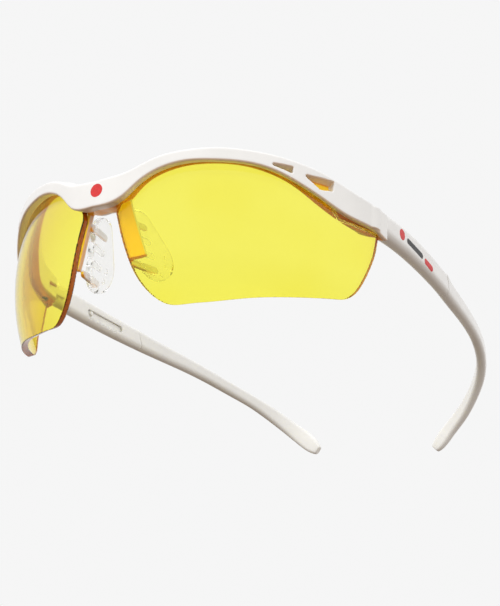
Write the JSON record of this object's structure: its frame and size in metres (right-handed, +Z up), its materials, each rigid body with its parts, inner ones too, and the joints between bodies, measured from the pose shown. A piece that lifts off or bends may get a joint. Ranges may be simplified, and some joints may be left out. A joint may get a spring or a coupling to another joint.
{
  "type": "sports protective goggles",
  "caption": "Half-rim wraparound protective goggles with tinted shield lenses, clear nose pads, folding temples and length-adjustable temple tips.",
  "frame": {"origin": "centre of the footprint on the surface that the goggles stand on, level with the end of the left temple tip, the lowest point", "axes": "+Z up, -Y the way the wearer looks, +X the wearer's left; the left and right halves mirror about X = 0, apart from the bend of the temple tips"},
  "size_m": [0.1326, 0.1824, 0.0519],
  "materials": {
    "frame_white": "glossy white moulded nylon",
    "temple_white": "glossy white moulded nylon",
    "tip_white": "satin white moulded nylon",
    "lens_yellow": "clear yellow polycarbonate, polished",
    "pad_clear": "clear soft silicone",
    "screw_steel": "dark steel screw"
  },
  "bodies": {
    "front": {"brow_frame": "frame_white", "left_lens": "lens_yellow", "right_lens": "lens_yellow", "left_nose_pad": "pad_clear", "right_nose_pad": "pad_clear", "left_hinge_screw": "screw_steel", "right_hinge_screw": "screw_steel"},
    "left_temple": {"left_temple_sleeve": "temple_white"},
    "right_temple": {"right_temple_sleeve": "temple_white"},
    "left_tip": {"left_temple_tip": "tip_white"},
    "right_tip": {"right_temple_tip": "tip_white"}
  },
  "joints": [
    {"name": "left_temple_fold", "type": "hinge", "parent": "front", "child": "left_temple", "pos_m": [0.062, -0.03669, 0.0364], "axis": [0, 0, 1], "range_deg": [0, 78]},
    {"name": "right_temple_fold", "type": "hinge", "parent": "front", "child": "right_temple", "pos_m": [-0.062, -0.03669, 0.0364], "axis": [0, 0, -1], "range_deg": [0, 50]},
    {"name": "left_temple_length", "type": "slide", "parent": "left_temple", "child": "left_tip", "axis": [-0.0515, 0.9971, -0.0556], "range_m": [0, 0.0132]},
    {"name": "right_temple_length", "type": "slide", "parent": "right_temple", "child": "right_tip", "axis": [0.0515, 0.9971, -0.0556], "range_m": [0, 0.0132]}
  ]
}
